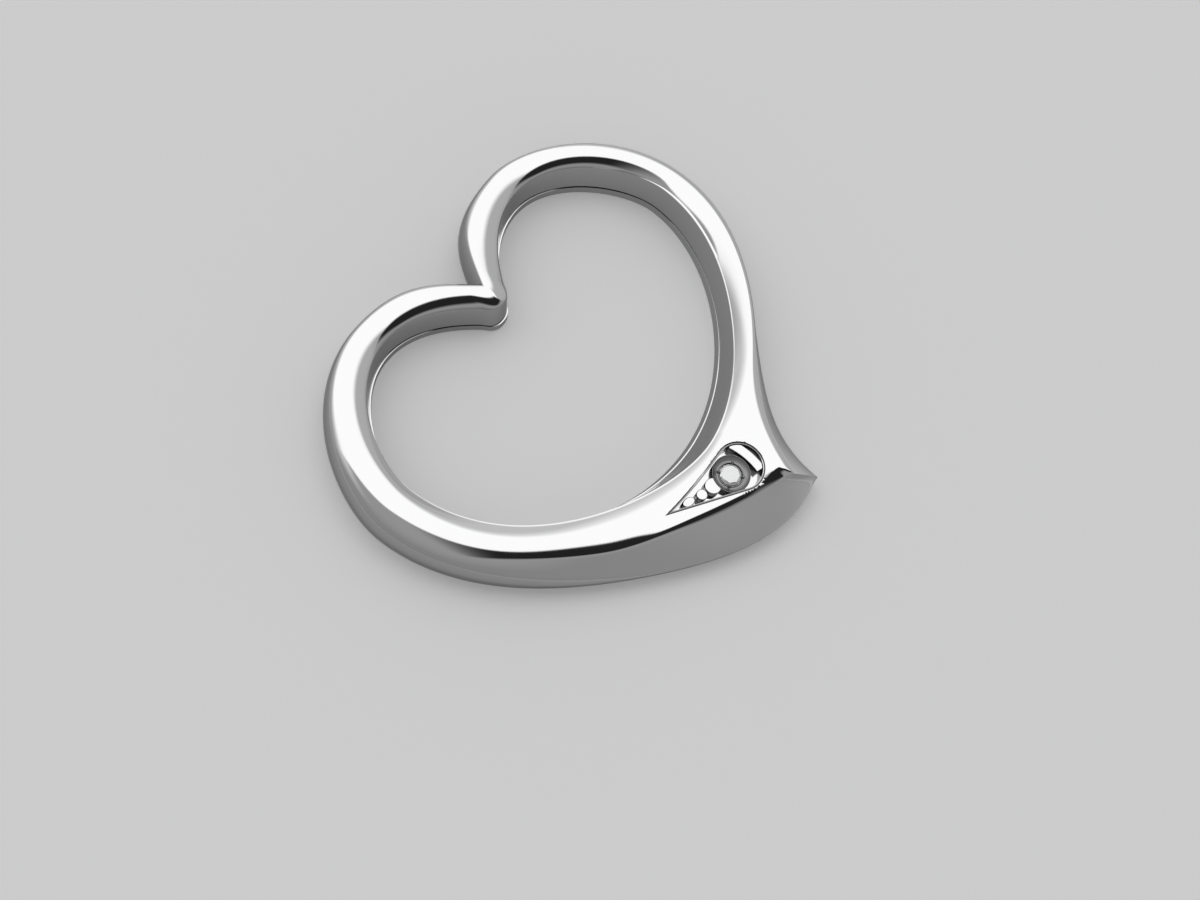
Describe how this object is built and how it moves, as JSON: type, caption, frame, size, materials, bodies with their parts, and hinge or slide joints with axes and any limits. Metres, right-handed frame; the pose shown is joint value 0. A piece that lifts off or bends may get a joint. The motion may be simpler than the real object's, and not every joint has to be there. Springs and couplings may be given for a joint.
{
  "type": "heart pendant",
  "caption": "Open heart pendant with a swept tip, a pear-shaped recess set with a round stone, and an opening for a chain.",
  "frame": {"origin": "centre of the footprint on the flat back face, which lies on the surface", "axes": "+Z out of the domed front, +Y to the cusp between the lobes, +X to the side that the tip sweeps to"},
  "size_m": [0.0224, 0.02, 0.0021],
  "materials": {
    "polished_silver": "mirror-polished silver",
    "setting_silver": "bright-cut silver of the setting",
    "stone": "clear faceted stone"
  },
  "bodies": {
    "root": {"front_shell": "polished_silver", "back_plate": "polished_silver", "setting_cup": "setting_silver", "collet_ring": "setting_silver", "center_stone": "stone", "head_bar": "setting_silver", "tail_grain_large": "setting_silver", "tail_bead": "setting_silver", "tail_grain_small": "setting_silver"}
  },
  "joints": []
}
